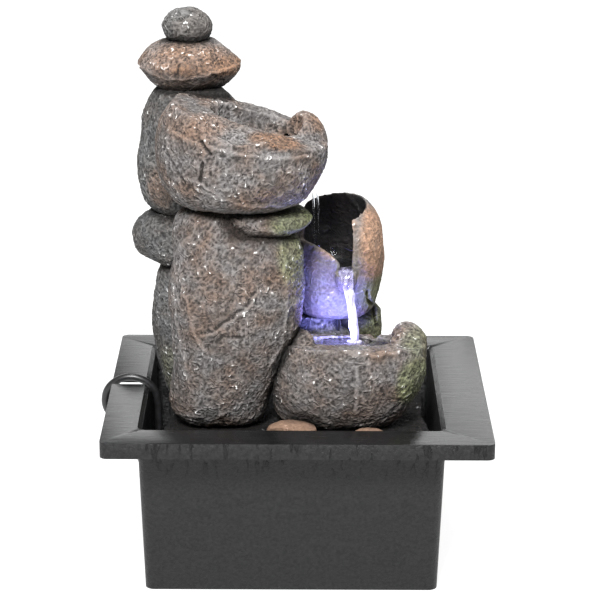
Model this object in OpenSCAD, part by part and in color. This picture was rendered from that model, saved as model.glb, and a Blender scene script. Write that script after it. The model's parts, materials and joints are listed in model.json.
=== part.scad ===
// Tabletop water fountain: a black basin, a cast rockery with three bowls that lifts out,
// a small submersible pump with its hose, two lamps, and a mains lead. Millimetres, +Z up.
// The origin is on the table, under the middle of the rim.

/* [Basin] */
// Width of the rim
rim_w = 205; // [190:1:230]
// Depth of the rim
rim_d = 175; // [165:1:200]
// Height of the basin
basin_h = 93.5; // [88:0.5:110]
// Height of the rim's turned-down edge
rim_edge = 8.5; // [5:0.5:15]
// Width of the mouth
mouth_w = 158; // [156:1:166]
// Depth of the mouth
mouth_d = 133; // [131:1:140]
// How much the side walls lean in from mouth to floor
side_lean = 3; // [2:0.5:3]
// How much the front and back walls lean in
front_lean = 5.5; // [2:0.5:5.5]
// Width of the bevel round the mouth
mouth_bevel = 2; // [1:0.5:3]
// Wall thickness
wall_t = 2.5; // [2:0.1:3]
// Floor thickness
floor_t = 3; // [2:0.5:3]
// Sideways offset of the well from the rim's middle
well_x = -3; // [-3:0.5:0]
// Width of the cord notch in the rim
notch_w = 9.5; // [7:0.5:12]
// Depth of the cord notch in the rim
notch_t = 6; // [5:0.5:7]

/* [Rockery] */
// Thickness of the ground and of its skirt
ground_t = 7; // [5:0.5:9]
// Sides of each stone's sections
stone_sides = 26; // [16:2:30]
// Rings up each stone
stone_rings = 13; // [9:1:14]

/* [Pump] */
// Width of the pump
pump_w = 36; // [32:1:38]
// Outer radius of the outlet nozzle
nozzle_r = 4; // [3.6:0.1:4.4]
// Outer radius of the hose
hose_r = 5.4; // [5.2:0.1:5.8]
// Radius of the rotor's shaft
shaft_r = 1.25; // [1:0.05:1.5]

/* [Lead] */
// Diameter of the mains lead
cord_d = 4.2; // [3.8:0.1:4.4]

/* [Hidden] */
$fn = 48;

// Colours
plastic_black = [0.10, 0.10, 0.11];
stone_grey = [0.42, 0.40, 0.38];
stone_brown = [0.50, 0.41, 0.33];
stone_ochre = [0.62, 0.46, 0.32];
ground_grey = [0.36, 0.36, 0.36];
pebble_tan = [0.72, 0.52, 0.40];
hose_clear = [0.85, 0.90, 0.92];
lamp_white = [0.90, 0.90, 1.00];
sponge_blue = [0.20, 0.25, 0.35];
metal_bright = [0.80, 0.80, 0.82];

// The ground that the stones stand on, and the clearances of sliding pieces and of pipes in stone
ground_z = 82;
slide_gap = 0.2;
bore_gap = 0.6;
// Room round the hose and the lamp leads in the stones that they pass through
hose_x = -34;
hose_y = -20;
hose_bore_r = hose_r + bore_gap;
hose_in_r = nozzle_r + 0.1;
lead_r = 1.1;
lead_bore_r = lead_r + 0.7;
lamp_r = 4.5;
lamp_h = 5;
lower_lamp = [29, -12];
middle_lamp = [22, 12];

// ---- Shapes that several pieces share ----

// A smooth value between b and c, with a and d as the neighbours
function between(a, b, c, d, t) =
    0.5 * (2 * b + (c - a) * t + (2 * a - 5 * b + 4 * c - d) * t * t + (3 * b - a - 3 * c + d) * t * t * t);

// The smooth line through a list of points or sections, at u from 0 to 1
function along(list, u) =
    let (n = len(list) - 1, i = min(floor(u * n), n - 1))
    between(list[max(i - 1, 0)], list[i], list[i + 1], list[min(i + 2, n)], u * n - i);

// A power that keeps its sign, for rounded-square outlines
function signed_power(v, p) = sign(v) * pow(abs(v), p);

// One ring of a stone: section is [height, x, y, half width, half depth]
function stone_ring(section, lumps, turn) = [
    for (k = [0 : stone_sides - 1])
        let (a = 360 * k / stone_sides, swell = 1 + lumps * (sin(2 * a + turn) + 0.6 * sin(3 * a + 2 * turn)))
        [section[1] + section[3] * swell * signed_power(cos(a), 0.88),
         section[2] + section[4] * swell * signed_power(sin(a), 0.88),
         section[0]]];

// A solid through rings that all have the same number of points, with flat ends
module skin(rings) {
    n = len(rings[0]);
    last = len(rings) - 1;
    sides = [for (i = [0 : last - 1], k = [0 : n - 1])
        [i * n + k, (i + 1) * n + k, (i + 1) * n + (k + 1) % n, i * n + (k + 1) % n]];
    polyhedron(points = [for (r = rings, p = r) p],
        faces = concat([[for (k = [0 : n - 1]) k]], sides, [[for (k = [n - 1 : -1 : 0]) last * n + k]]));
}

// A stone through sections of [height, x, y, half width, half depth], flat where it is seated
module stone(sections, lumps = 0.015, turn = 0)
    skin([for (i = [0 : stone_rings]) stone_ring(along(sections, i / stone_rings), lumps, turn)]);

// A cast piece: its joins and cuts are worked out together, as one skin
module cast() resize([0, 0, 0]) children();

function unit(v) = v / norm(v);
function tangent(p, i) = unit(p[min(i + 1, len(p) - 1)] - p[max(i - 1, 0)]);
function square_to(v, t) = unit(v - (v * t) * t);

// A round tube of radius r through the points of a line
module tube(points, r, sides = 8) {
    normals = [for (i = 0, n = square_to([0.3, 0.4, 1], tangent(points, 0)); i < len(points);
        i = i + 1, n = square_to(n, tangent(points, min(i, len(points) - 1)))) n];
    skin([for (i = [0 : len(points) - 1])
        let (n = normals[i], b = cross(n, tangent(points, i)))
        [for (k = [0 : sides - 1]) points[i] + r * (cos(360 * k / sides) * n - sin(360 * k / sides) * b)]]);
}

module rounded_plate(w, d, h, r) linear_extrude(h) hull()
    for (x = [-1, 1], y = [-1, 1]) translate([x * (w / 2 - r), y * (d / 2 - r)]) circle(r);

// A box with its upright edges rounded that narrows from top to bottom, by lean [side, front]
module tapered_box(top_w, top_d, lean, h, r) hull() {
    rounded_plate(top_w - 2 * lean[0], top_d - 2 * lean[1], 0.1, r);
    translate([0, 0, h - 0.1]) rounded_plate(top_w, top_d, 0.1, r);
}

// A channel between two points, whose roof is a height above them
module groove(from, to, r, roof = 20) hull() for (p = [from, to], up = [0, roof])
    translate(p + [0, 0, up]) sphere(r, $fn = 16);

// ---- Basin ----

lean = [side_lean, front_lean];
notch_y = 7.5;
rim_lap = (rim_w - mouth_w) / 2 + well_x;
module well_place() translate([well_x, 1, 0]) children();
module basin() color(plastic_black) difference() {
    union() {
        well_place() tapered_box(mouth_w + 2 * wall_t, mouth_d + 2 * wall_t, lean, basin_h - 1, 5, $fn = 32);
        difference() {
            translate([0, 0, basin_h - rim_edge]) rounded_plate(rim_w, rim_d, rim_edge, 4);
            translate([0, 0, basin_h - rim_edge - 1])
                rounded_plate(rim_w - 2 * wall_t, rim_d - 2 * wall_t, rim_edge - wall_t + 1, 2);
        }
    }
    well_place() translate([0, 0, floor_t])
        tapered_box(mouth_w, mouth_d, lean, basin_h - floor_t + 0.2, 3.5, $fn = 32);
    well_place() translate([0, 0, basin_h - mouth_bevel])
        tapered_box(mouth_w + 2 * mouth_bevel + 0.2, mouth_d + 2 * mouth_bevel + 0.2,
            [mouth_bevel + 0.1, mouth_bevel + 0.1], mouth_bevel + 0.1, 5, $fn = 32);
    // The lead's slot, right through the rim and down into the top of the wall
    translate([-rim_w / 2 - 1, notch_y - notch_w / 2, basin_h - notch_t])
        cube([rim_lap + 4, notch_w, notch_t + 1]);
    translate([-rim_w / 2 - 1, notch_y - notch_w / 2, basin_h - rim_edge - 1])
        cube([rim_lap - wall_t + 1, notch_w, rim_edge + 2]);
}

// ---- Rockery: the ground and the stones, from the table up ----

// The ground's outline, with a bay on the left that the mains lead rises through
ground_outline = [[-70, -56], [-50, -62], [-10, -60], [30, -62], [62, -58], [72, -40], [68, -10], [70, 20],
    [62, 50], [35, 60], [-10, 58], [-50, 61], [-70, 48], [-72, 20], [-69, -10], [-72, -34]];

// The skirt stands on the basin's floor, and arches in it let water, the lead and the pump through
module rock_base() color(ground_grey) difference() {
    union() {
        translate([0, 0, ground_z - ground_t]) linear_extrude(ground_t) offset(3, $fn = 16) offset(-3)
            polygon(ground_outline);
        translate([-3, 0, floor_t]) difference() {
            rounded_plate(skirt_w, skirt_d, ground_z - ground_t - floor_t, 8);
            translate([0, 0, -1]) rounded_plate(skirt_w - 2 * skirt_t, skirt_d - 2 * skirt_t, ground_z, 5);
        }
    }
    // Side arches, a front arch that the strainer pulls off through, and a back arch for the lead
    translate([-100, -24, 0]) cube([200, 48, 52]);
    translate([-56, -100, 0]) cube([44, 60, 50]);
    translate([-50, 0, 0]) cube([90, 100, 58]);
    translate([hose_x, hose_y, 0]) cylinder(h = 100, r = hose_bore_r);
    for (p = [lower_lamp, middle_lamp]) translate([p[0], p[1], 0])
        cylinder(h = 100, r = lead_bore_r, $fn = 16);
}
skirt_w = 128;
skirt_d = 110;
skirt_t = 4;

column_sections = [[82, -52, 24, 20, 20], [92, -50, 24, 25, 23], [106, -51, 24, 28, 25],
    [125, -52, 24, 29, 25],
    [145, -51, 23, 28, 24], [156, -51, 22, 25, 22], [160, -51, 22, 21, 19]];
ledge_sections = [[160, -55, 22, 22, 19], [166, -57, 22, 31, 24], [174, -58, 22, 32.5, 26],
    [182, -57, 21, 31, 25], [187, -56, 20, 26, 22], [189, -56, 20, 22, 19]];
shoulder_sections = [[189, -60, 20, 18, 17], [196, -60, 20, 24, 22], [212, -60.5, 20, 27.5, 25],
    [230, -59.5, 20, 26.5, 24.5], [245, -58.5, 20, 25, 23], [254, -58, 20, 21.5, 20], [258, -58, 20, 18, 17]];
cap_sections = [[258, -58, 20, 17, 15], [262, -58, 20, 22, 19], [267, -58, 20, 26, 23],
    [271, -58.5, 20, 27.8, 24.5], [276, -59, 20, 24.5, 22], [281, -59.5, 20, 17.5, 16],
    [283, -59.5, 20, 12.5, 12]];
crown_sections = [[283, -59.5, 20, 9, 8], [286, -59.5, 20, 12, 10.5], [291, -59.5, 20, 13.4, 11.5],
    [295, -59.5, 20, 11.5, 10], [298.5, -59.5, 20, 7.5, 6.5], [300, -59.5, 20, 3.5, 3]];
boulder_sections = [[82, -40, -24, 17, 10], [87, -41.5, -25, 23.5, 17], [95, -42.5, -25, 26.5, 21],
    [106, -40, -25, 28, 23.5], [118, -37, -25, 29.5, 25], [134, -34, -25, 33.5, 26.5],
    [150, -33, -25, 36, 27], [168, -32.5, -24, 35.5, 26], [181, -31, -23, 33, 24], [188, -30, -22, 28, 20],
    [190, -30, -22, 25, 17]];
boulder_shoulder = [[170, -41, -22, 24, 22], [184, -42, -22, 25, 22], [193, -43, -21, 23, 20],
    [199, -43, -20, 19, 17], [202, -42, -20, 15, 14]];
slab_sections = [[190, -22, -20, 22, 18], [193, -19, -20, 25, 22], [197, -18, -20, 25.5, 24],
    [200, -20, -20, 22, 21], [202, -22, -20, 17, 17]];
upper_bowl_sections = [[202, -30, -19, 24, 16], [206, -31, -20, 33, 25], [214, -31, -21, 40, 31],
    [226, -30, -21, 44.5, 33.5], [238, -30, -20, 45, 33], [250, -30, -19, 42.5, 31], [259, -31, -19, 37, 27],
    [263, -32, -19, 30, 22]];
upper_hollow = [[228, -20, -15, 11, 7], [234, -21, -15, 19, 12], [243, -22, -15, 24, 15],
    [256, -22, -15, 25, 16],
    [270, -22, -15, 26, 17]];
upper_lobe = [[216, 2, -8, 6, 8], [226, 4, -9, 10, 14], [236, 4.5, -9, 10.5, 15], [243, 3.5, -8, 9, 13],
    [247, 3, -7, 6, 9], [249, 3, -6, 3, 5]];
upper_lip = [[212, 0, 2, 6, 8], [219, 4, 6, 8, 11], [228, 6, 9, 8.5, 12.5], [234, 6, 9, 8, 12],
    [236, 6, 9, 5, 8]];
back_column_sections = [[82, 26, 36, 20, 20], [95, 26, 36, 21, 21], [112, 28, 37, 19.5, 20],
    [122, 29, 37, 18.5, 19.5], [127, 28.5, 37, 18.5, 19.5], [130, 27, 36, 17, 18]];
inner_sections = [[82, 8, 10, 18, 12], [100, 8, 12, 20, 14], [113, 9, 13, 21, 15], [119, 10, 14, 19.5, 14],
    [122, 11, 15, 15, 10], [124, 11, 17, 13, 8], [130, 11, 17, 13, 8]];
middle_bowl_sections = [[130, 20, 28, 18, 22], [133, 20.5, 28, 21.5, 26], [143, 21.5, 28.5, 23.5, 28.5],
    [154, 22.5, 29, 24.5, 29],
    [166, 22.5, 29, 24.8, 30], [178, 22.5, 30, 23.3, 28.5], [185, 22, 32, 20.5, 25], [190, 22, 33, 15, 19]];
middle_hollow = [[152, 20, 26, 10, 14], [158, 20, 26, 15.5, 21], [170, 20, 27, 17.5, 23.5],
    [182, 20, 29, 17.5, 23], [200, 20, 31, 15.5, 20]];
lower_bowl_sections = [[82, 23, -26, 26, 12], [88, 22.5, -27, 33.5, 18], [97, 24.5, -28, 38.5, 22],
    [110, 27.5, -28, 41, 25], [122, 29, -27, 41, 26], [131, 30, -26, 38, 25], [136, 30, -26, 35, 23]];
lower_hollow = [[112, 27, -20, 13, 7], [118, 27, -21, 20, 11], [127, 26.5, -21, 24, 14],
    [140, 26, -21, 24, 15]];
lower_lobe = [[110, 56, -22, 10, 14], [120, 59, -22, 10.5, 16], [129, 59.5, -22, 9.5, 14],
    [134, 59, -22, 7, 10],
    [136.5, 58.5, -22, 4, 6]];
lower_shoulder = [[116, 0, -26, 7, 12], [126, 2, -26, 8, 12], [133, 3, -26, 6, 9], [136, 3, -26, 3, 5]];

// The boulder rises behind its front face to the bowl that it carries
module boulder_solid() {
    stone(boulder_sections, turn = 20);
    stone(boulder_shoulder, turn = 60);
}

module column_stone() color(stone_grey) cast() difference() {
    stone(column_sections, turn = 40);
    boulder_solid();
}

module ledge_stone() color(stone_grey) cast() difference() {
    stone(ledge_sections, turn = 100);
    boulder_solid();
}

module shoulder_stone() color(stone_grey) cast() difference() {
    stone(shoulder_sections, turn = 200);
    stone(slab_sections, turn = 10);
}

module cap_stone() color(stone_brown) stone(cap_sections, turn = 60);

module crown_stone() color(stone_grey) stone(crown_sections, turn = 150);

// The hose rises through the boulder and the slab to the upper bowl
module hose_way() translate([hose_x, hose_y, 0]) cylinder(h = 240, r = hose_bore_r, $fn = 20);

module front_boulder() color(stone_grey) cast() difference() {
    boulder_solid();
    hose_way();
}

module slab_stone() color(stone_brown) cast() difference() {
    stone(slab_sections, turn = 10);
    boulder_solid();
    stone(ledge_sections, turn = 100);
    hose_way();
}

// The rim falls from a peak on the left, sags at the front, and rises to a lobe on the right; the spout is
// behind the lobe
module upper_bowl() color(stone_brown) cast() difference() {
    union() {
        difference() {
            stone(upper_bowl_sections, turn = 0);
            translate([-58, -28, 257.2]) rotate([3, 16, 0]) translate([-40, -60, 0]) cube([140, 140, 40]);
            translate([-26, -50, 263]) scale([30, 24, 20]) sphere(1, $fn = 32);
        }
        stone(upper_lobe, turn = 30);
        stone(upper_lip, turn = 60);
    }
    stone(upper_hollow, turn = 30);
    groove([-10, -12, 235], [7, 24, 231], 3.6, roof = 0.1);
    stone(shoulder_sections, turn = 200);
    stone(cap_sections, turn = 60);
    hose_way();
}

module back_column() color(stone_grey) cast() difference() {
    stone(back_column_sections, turn = 300);
    stone(inner_sections, turn = 250);
    translate([middle_lamp[0], middle_lamp[1], 0]) cylinder(h = 200, r = lead_bore_r, $fn = 12);
}

module inner_stone() color(stone_grey) cast() difference() {
    stone(inner_sections, turn = 250);
    boulder_solid();
    stone(lower_bowl_sections, turn = 170);
    stone(middle_bowl_sections, turn = 120);
    translate([middle_lamp[0], middle_lamp[1], 0]) cylinder(h = 200, r = lead_bore_r, $fn = 12);
}

// A hooded bowl: its front rim falls in an arc to the spout, and its right wall stands tall
module middle_bowl() color(stone_ochre) cast() difference() {
    union() {
        stone(middle_bowl_sections, turn = 120);
        translate([26, 0, 0])
            stone([[148, 0, 3, 4, 3], [154, 0, 0, 5.5, 5.5], [159, 0, -1, 5.5, 6]], lumps = 0);
    }
    stone(middle_hollow, turn = 60);
    difference() {
        translate([-10, -12, 156]) cube([39, 28, 50]);
        translate([4, -14, 151]) scale([22, 1, 23]) rotate([-90, 0, 0]) cylinder(h = 32, r = 1, $fn = 40);
    }
    groove([26, 8, 161], [26, -12, 159], 3.6);
    boulder_solid();
    stone(slab_sections, turn = 10);
    translate([middle_lamp[0], middle_lamp[1], 0]) cylinder(h = 200, r = lead_bore_r, $fn = 12);
    translate([middle_lamp[0], middle_lamp[1], middle_lamp_z]) cylinder(h = 20, r = lamp_r + 0.2, $fn = 24);
}

// A wide bowl with a raised lobe at its right end and an overflow at the back
module lower_bowl() color(stone_brown) cast() difference() {
    union() {
        difference() {
            stone(lower_bowl_sections, turn = 170);
            translate([-40, -30, 128.6]) rotate([-7.5, 0, 0]) translate([0, -50, 0]) cube([140, 120, 30]);
        }
        stone(lower_lobe, turn = 45);
        stone(lower_shoulder, turn = 45);
    }
    stone(lower_hollow, turn = 90);
    groove([38, -14, 127], [46, 6, 125], 3);
    boulder_solid();
    translate([lower_lamp[0], lower_lamp[1], 0]) cylinder(h = 200, r = lead_bore_r, $fn = 12);
    translate([lower_lamp[0], lower_lamp[1], lower_lamp_z]) cylinder(h = 20, r = lamp_r + 0.2, $fn = 24);
}

module pebble_left() color(pebble_tan) translate([-2.5, -50, ground_z])
    stone([[0, 0, 0, 9, 5], [3, 0, 0, 14, 8], [7, 0, 0, 13, 7.5], [10, 0, 0, 7, 4]], turn = 80);

module pebble_right() color(pebble_tan)
    translate([38, -54.5, ground_z]) stone([[0, 0, 0, 7, 2.5], [2.5, 0, 0, 10, 4.5], [5.5, 0, 0, 9, 4],
        [8, 0, 0, 5, 2]], turn = 10);

// ---- Water and lamps inside the rockery ----

nozzle_top = 58;
hose_top = 231;
module water_hose() color(hose_clear) translate([hose_x, hose_y, nozzle_top - 10]) difference() {
    cylinder(h = hose_top - nozzle_top + 10, r = hose_r);
    translate([0, 0, -1]) cylinder(h = hose_top - nozzle_top + 12, r = hose_in_r);
}

// A flanged sleeve that ends the hose in the upper bowl
module hose_outlet() color(plastic_black) translate([hose_x, hose_y, hose_top]) difference() {
    union() {
        cylinder(h = 3, r = hose_r + 0.4);
        translate([0, 0, -8]) cylinder(h = 8, r = hose_in_r);
    }
    translate([0, 0, -9]) cylinder(h = 13, r = hose_in_r - 1.2);
}

lower_lamp_z = 108;
middle_lamp_z = 148;
module lamp_body(place, z) color(plastic_black) translate([place[0], place[1], z])
    cylinder(h = lamp_h, r = lamp_r);
module lamp_lens(place, z) color(lamp_white) translate([place[0], place[1], z + lamp_h]) difference() {
    scale([1, 1, 0.6]) sphere(lamp_r - 0.3);
    translate([-10, -10, -20]) cube([20, 20, 20]);
}
module lamp_lower() lamp_body(lower_lamp, lower_lamp_z);
module lamp_lower_lens() lamp_lens(lower_lamp, lower_lamp_z);
module lamp_middle() lamp_body(middle_lamp, middle_lamp_z);
module lamp_middle_lens() lamp_lens(middle_lamp, middle_lamp_z);

// The leads drop through the stones and cross over the pump to their plug
plug_x = -26;
plug_y = 8;
lead_hang_z = 64;
function lead_route(lamp, z, end_y) = [[lamp[0], lamp[1], z], [lamp[0], lamp[1], ground_z],
    [lamp[0] - 1, lamp[1], 72], [lamp[0] - 10, lamp[1] + 1, lead_hang_z], [0, end_y + 1, lead_hang_z - 2],
    [plug_x + 10, end_y, lead_hang_z - 1], [plug_x + 2, end_y, lead_hang_z - 2],
    [plug_x, end_y, lead_hang_z - 5],
    [plug_x, end_y, 56.1]];
module lead(route) tube([for (i = [0 : 28]) along(route, i / 28)], lead_r);
module lamp_leads() color(plastic_black) {
    lead(lead_route(lower_lamp, lower_lamp_z, plug_y - 2));
    lead(lead_route(middle_lamp, middle_lamp_z, plug_y + 2));
}

module lamp_plug() color(plastic_black) translate([plug_x, plug_y, 0]) {
    translate([-3, -5, 50]) cube([6, 10, 6]);
    translate([-2, -4, 46.4]) cube([4, 8, 3.6]);
}

module lamp_socket() color(plastic_black) translate([plug_x, plug_y, 44]) difference() {
    translate([-4, -6, 0]) cube([8, 12, 5.8]);
    translate([-2.3, -4.3, 2]) cube([4.6, 8.6, 10]);
}

// ---- Pump ----

axis_x = hose_x;
axis_z = 26;
pump_base = 8;
pump_top = 44;
motor_front = -14;
motor_back = 20;
chamber_front = -27;
chamber_r = 13;
cover_front = -42;

module along_y(from, to, r) translate([axis_x, from, axis_z]) rotate([-90, 0, 0])
    cylinder(h = to - from, r = r);

// The motor block, with the rotor's blind well in its front face and a shaft socket at the well's end
module pump_housing() color(plastic_black) difference() {
    union() {
        translate([axis_x - pump_w / 2, motor_front, pump_base])
            cube([pump_w, motor_back - motor_front, pump_top - pump_base]);
        translate([axis_x - pump_w / 2 - 1.2, motor_front, pump_base + 4])
            cube([pump_w + 2.4, 4, pump_top - pump_base - 8]);
        for (y = [2 : 5 : 17]) translate([axis_x - pump_w / 2 - 0.8, y, pump_base + 6])
            cube([pump_w + 1.6, 2, pump_top - pump_base - 16]);
    }
    along_y(motor_front - 1, 14, 8.6);
    along_y(13, 17, shaft_r);
    for (x = [-13, 13], y = [-8, 14]) translate([axis_x + x, y, pump_base - 1]) cylinder(h = 4, r = 2);
}

// The pump chamber, whose nozzle takes the hose
module pump_chamber() color(plastic_black) difference() {
    union() {
        translate([axis_x - 15, chamber_front, axis_z - 15]) cube([30, motor_front - chamber_front, 31]);
        translate([hose_x, hose_y, axis_z]) cylinder(h = nozzle_top - axis_z, r = nozzle_r);
    }
    along_y(chamber_front + 3, motor_front + 1, chamber_r);
    along_y(chamber_front - 1, chamber_front + 4, 5.5);
    translate([hose_x, hose_y, axis_z]) cylinder(h = 60, r = nozzle_r - 1.2);
}

module rotor_shaft() color(metal_bright) along_y(chamber_front + 4, 17, shaft_r);

// A magnet with a six-bladed impeller on its front end
module pump_rotor() color([0.25, 0.25, 0.28]) difference() {
    union() {
        along_y(-15, 11, 7.8);
        along_y(-17, -15, 11);
        intersection() {
            along_y(-22, -16, 11);
            for (a = [0 : 60 : 300]) translate([axis_x, -22, axis_z]) rotate([0, a, 0])
                translate([-0.8, 0, 0]) cube([1.6, 6, 12]);
        }
        along_y(-22, -16, 3.2);
    }
    along_y(-30, 20, shaft_r + 0.07);
}

// The strainer pulls off the front of the chamber; slots in its sides and front let water in
module intake_cover() color(plastic_black) difference() {
    translate([axis_x - 17, cover_front, axis_z - 17.5]) cube([34, chamber_front - cover_front + 3, 36.5]);
    translate([axis_x - 15.2, cover_front + 2, axis_z - 15.3]) cube([30.4, 30, 31.6]);
    for (z = [-11 : 4 : 9]) translate([axis_x - 20, cover_front + 4, axis_z + z]) cube([40, 8, 1.8]);
    translate([axis_x - 4, cover_front - 1, axis_z - 8]) cube([8, 4, 16]);
}

module filter_sponge() color(sponge_blue) translate([axis_x - 14.8, cover_front + 2.4, axis_z - 15])
    cube([29.6, 11.6, 30]);

// A shutter over the front window: lifting it uncovers the window and lets more water through
module flow_slider() color(plastic_black) {
    translate([axis_x - 6, cover_front - 1.6 - slide_gap, axis_z - 12]) cube([12, 1.6, 17]);
    translate([axis_x - 3, cover_front - 4, axis_z - 6]) cube([6, 2.6, 3]);
}

module suction_cups() color([0.3, 0.3, 0.32])
    for (x = [-13, 13], y = [-8, 14]) translate([axis_x + x, y, floor_t]) rotate_extrude()
        polygon([[0, 0.8], [3, 0.6], [5.5, 0], [6, 0.2], [2, 3.2], [2, 4], [3, 5], [1.9, 5],
            [1.9, 7.5], [0, 7.5]]);

// ---- Mains lead ----

cord_r = cord_d / 2;
gland_x = -42;
gland_z = 20;
gland_l = 22;

// A tapered relief on the back of the motor
module cord_gland() color(plastic_black)
    translate([gland_x, motor_back, gland_z]) rotate([-90, 0, 0]) difference() {
        cylinder(h = gland_l, r1 = 4.6, r2 = 3.2);
        translate([0, 0, gland_l - 6]) cylinder(h = 8, r = cord_r + 0.05);
    }

// Round the floor, up the left wall, through the notch, down under the rim and round to the coil behind
coil_lift = 0.9;
coil_x = -22;
coil_y = 127;
coil_r = 23;
coil_levels = 5;
cord_route = [[gland_x, motor_back + gland_l - 6, gland_z], [gland_x, 46, gland_z], [-45, 54, 19],
    [-52, 59.5, 17], [-62, 59.5, 15], [-71, 54, 14], [-76, 45, 14], [-77, 34, 15], [-77, 22, 19],
    [-77, 12, 29], [-77.2, 8.5, 42], [-77.3, 8, 55], [-77.3, 8, 68], [-77.4, 8, 80], [-79.3, 8, 88],
    [-84.5, 8.2, 93.4], [-92, 8.5, 95.6], [-99.5, 9.2, 93.7], [-105, 10.5, 88.4], [-107.2, 12.5, 81],
    [-106, 16, 73], [-101.5, 22, 64], [-96.5, 30, 54], [-93, 40, 43], [-91, 51, 31.5], [-89.5, 62, 20.5],
    [-86, 72.5, 11.5], [-79, 83, 5.5], [-69, 92, 3.2], [-57, 98, 3], [-45, 101.8, 3], [-33, 103.6, 3],
    [coil_x, coil_y - coil_r, coil_lift + cord_r]];
module cord_run() color(plastic_black) tube([for (i = [0 : 78]) along(cord_route, i / 78)], cord_r);

// The coil's outer shape: two columns of turns side by side, of which the inner one is wound first
module cord_coil() color(plastic_black) translate([coil_x, coil_y, coil_lift]) rotate_extrude() hull()
    for (x = [0, cord_d], z = [0, (coil_levels - 1) * cord_d]) translate([coil_r + x, z + cord_r])
        circle(cord_r, $fn = 24);

// The last stretch leaves the outer column one level up, over the stretch that comes in, for the plug
plug_x0 = 4;
plug_z = 6.5;
tail_y = coil_y - coil_r - cord_d;
tail_x = coil_x + 4;
tail_z = coil_lift + cord_r + cord_d;
module cord_tail() color(plastic_black)
    tube([for (t = [0 : 0.125 : 1]) [tail_x + t * (plug_x0 - 0.1 - tail_x), tail_y,
        tail_z + (plug_z - tail_z) * (3 * t * t - 2 * t * t * t)]], cord_r);

// A wire tie round the coil
tie_t = 0.8;
tie_w = 2 * cord_d + 0.3;
tie_h = coil_levels * cord_d + 0.1;
module cord_tie() color(plastic_black)
    translate([coil_x + coil_r - cord_r - 0.15, coil_y - 2, coil_lift]) difference() {
        translate([-tie_t, 0, -tie_t]) cube([tie_w + 2 * tie_t, 4, tie_h + 2 * tie_t]);
        translate([0, -1, 0]) cube([tie_w, 6, tie_h]);
    }

module plug_body() color(plastic_black) translate([plug_x0, tail_y, plug_z]) hull() {
    rotate([0, 90, 0]) cylinder(h = 4, r = 3.6, $fn = 24);
    translate([18, -11, -5]) cube([2, 22, 10]);
    translate([30, -12.5, -6.5]) cube([5, 25, 13]);
}

module plug_pins() color(metal_bright) for (y = [-9.5, 9.5]) translate([plug_x0 + 35, tail_y + y, plug_z])
    rotate([0, 90, 0]) cylinder(h = 19, r = 2, $fn = 24);

basin();
rock_base();
column_stone();
ledge_stone();
shoulder_stone();
cap_stone();
crown_stone();
front_boulder();
slab_stone();
upper_bowl();
back_column();
inner_stone();
middle_bowl();
lower_bowl();
pebble_left();
pebble_right();
water_hose();
hose_outlet();
lamp_middle();
lamp_middle_lens();
lamp_lower();
lamp_lower_lens();
lamp_leads();
lamp_plug();
lamp_socket();
pump_housing();
pump_chamber();
rotor_shaft();
pump_rotor();
intake_cover();
filter_sponge();
flow_slider();
suction_cups();
cord_gland();
cord_run();
cord_coil();
cord_tail();
cord_tie();
plug_body();
plug_pins();
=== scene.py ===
"""A tabletop water fountain: cast stones and bowls over a black basin, with water, lamps and its lead."""

import json
import math

import bmesh
import bpy
import numpy as np
from mathutils import Matrix, Vector
from mathutils.bvhtree import BVHTree

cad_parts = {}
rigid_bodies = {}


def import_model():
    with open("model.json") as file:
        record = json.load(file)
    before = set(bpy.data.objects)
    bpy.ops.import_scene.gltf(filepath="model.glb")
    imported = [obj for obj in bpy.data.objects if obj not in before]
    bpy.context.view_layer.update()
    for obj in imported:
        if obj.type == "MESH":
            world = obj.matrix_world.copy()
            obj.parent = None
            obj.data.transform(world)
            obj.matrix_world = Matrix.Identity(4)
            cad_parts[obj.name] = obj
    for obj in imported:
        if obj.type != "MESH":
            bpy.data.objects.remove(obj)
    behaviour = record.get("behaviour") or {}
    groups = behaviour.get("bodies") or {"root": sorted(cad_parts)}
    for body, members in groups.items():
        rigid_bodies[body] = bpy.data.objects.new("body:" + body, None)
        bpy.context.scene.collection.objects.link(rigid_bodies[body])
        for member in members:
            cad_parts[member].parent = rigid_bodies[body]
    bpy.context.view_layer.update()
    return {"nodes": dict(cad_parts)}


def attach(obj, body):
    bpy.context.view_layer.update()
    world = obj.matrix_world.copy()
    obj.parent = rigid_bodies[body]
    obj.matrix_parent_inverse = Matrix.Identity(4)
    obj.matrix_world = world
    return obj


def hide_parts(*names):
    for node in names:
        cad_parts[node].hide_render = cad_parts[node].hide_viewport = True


bl_info = {
    "name": "Tabletop water fountain",
    "version": (1, 0, 0),
    "blender": (4, 5, 0),
    "location": "View3D > Sidebar > Fountain",
    "description": "Builds a cast-stone tabletop fountain around its packed frame",
    "category": "Object",
}

MM = 0.001
BLACK, WHITE = (0, 0, 0, 1), (1, 1, 1, 1)
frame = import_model()
NODES = frame["nodes"]


# ---- Small tools ----


def linear(code):
    """An sRGB hex colour as a linear RGBA value."""
    parts = [int(code[i : i + 2], 16) / 255 for i in (1, 3, 5)]
    return (*[c / 12.92 if c <= 0.04045 else ((c + 0.055) / 1.055) ** 2.4 for c in parts], 1.0)


def new_object(name, mesh):
    """An object of this mesh at the origin, linked to the scene."""
    piece = bpy.data.objects.new(name, mesh)
    bpy.context.scene.collection.objects.link(piece)
    return piece


def finished(piece, body, finish, smooth=True):
    """Gives a new piece its finish and its slot, and sets it on its body."""
    piece.data.materials.clear()
    piece.data.materials.append(finish)
    if smooth and piece.type == "MESH":
        piece.data.shade_smooth()
    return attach(piece, body)


def mesh_from(bm, name):
    """Writes a bmesh to a new mesh with its faces pointing outwards."""
    bmesh.ops.remove_doubles(bm, verts=bm.verts, dist=1e-6)
    bmesh.ops.recalc_face_normals(bm, faces=bm.faces)
    mesh = bpy.data.meshes.new(name)
    bm.to_mesh(mesh)
    bm.free()
    return mesh


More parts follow.
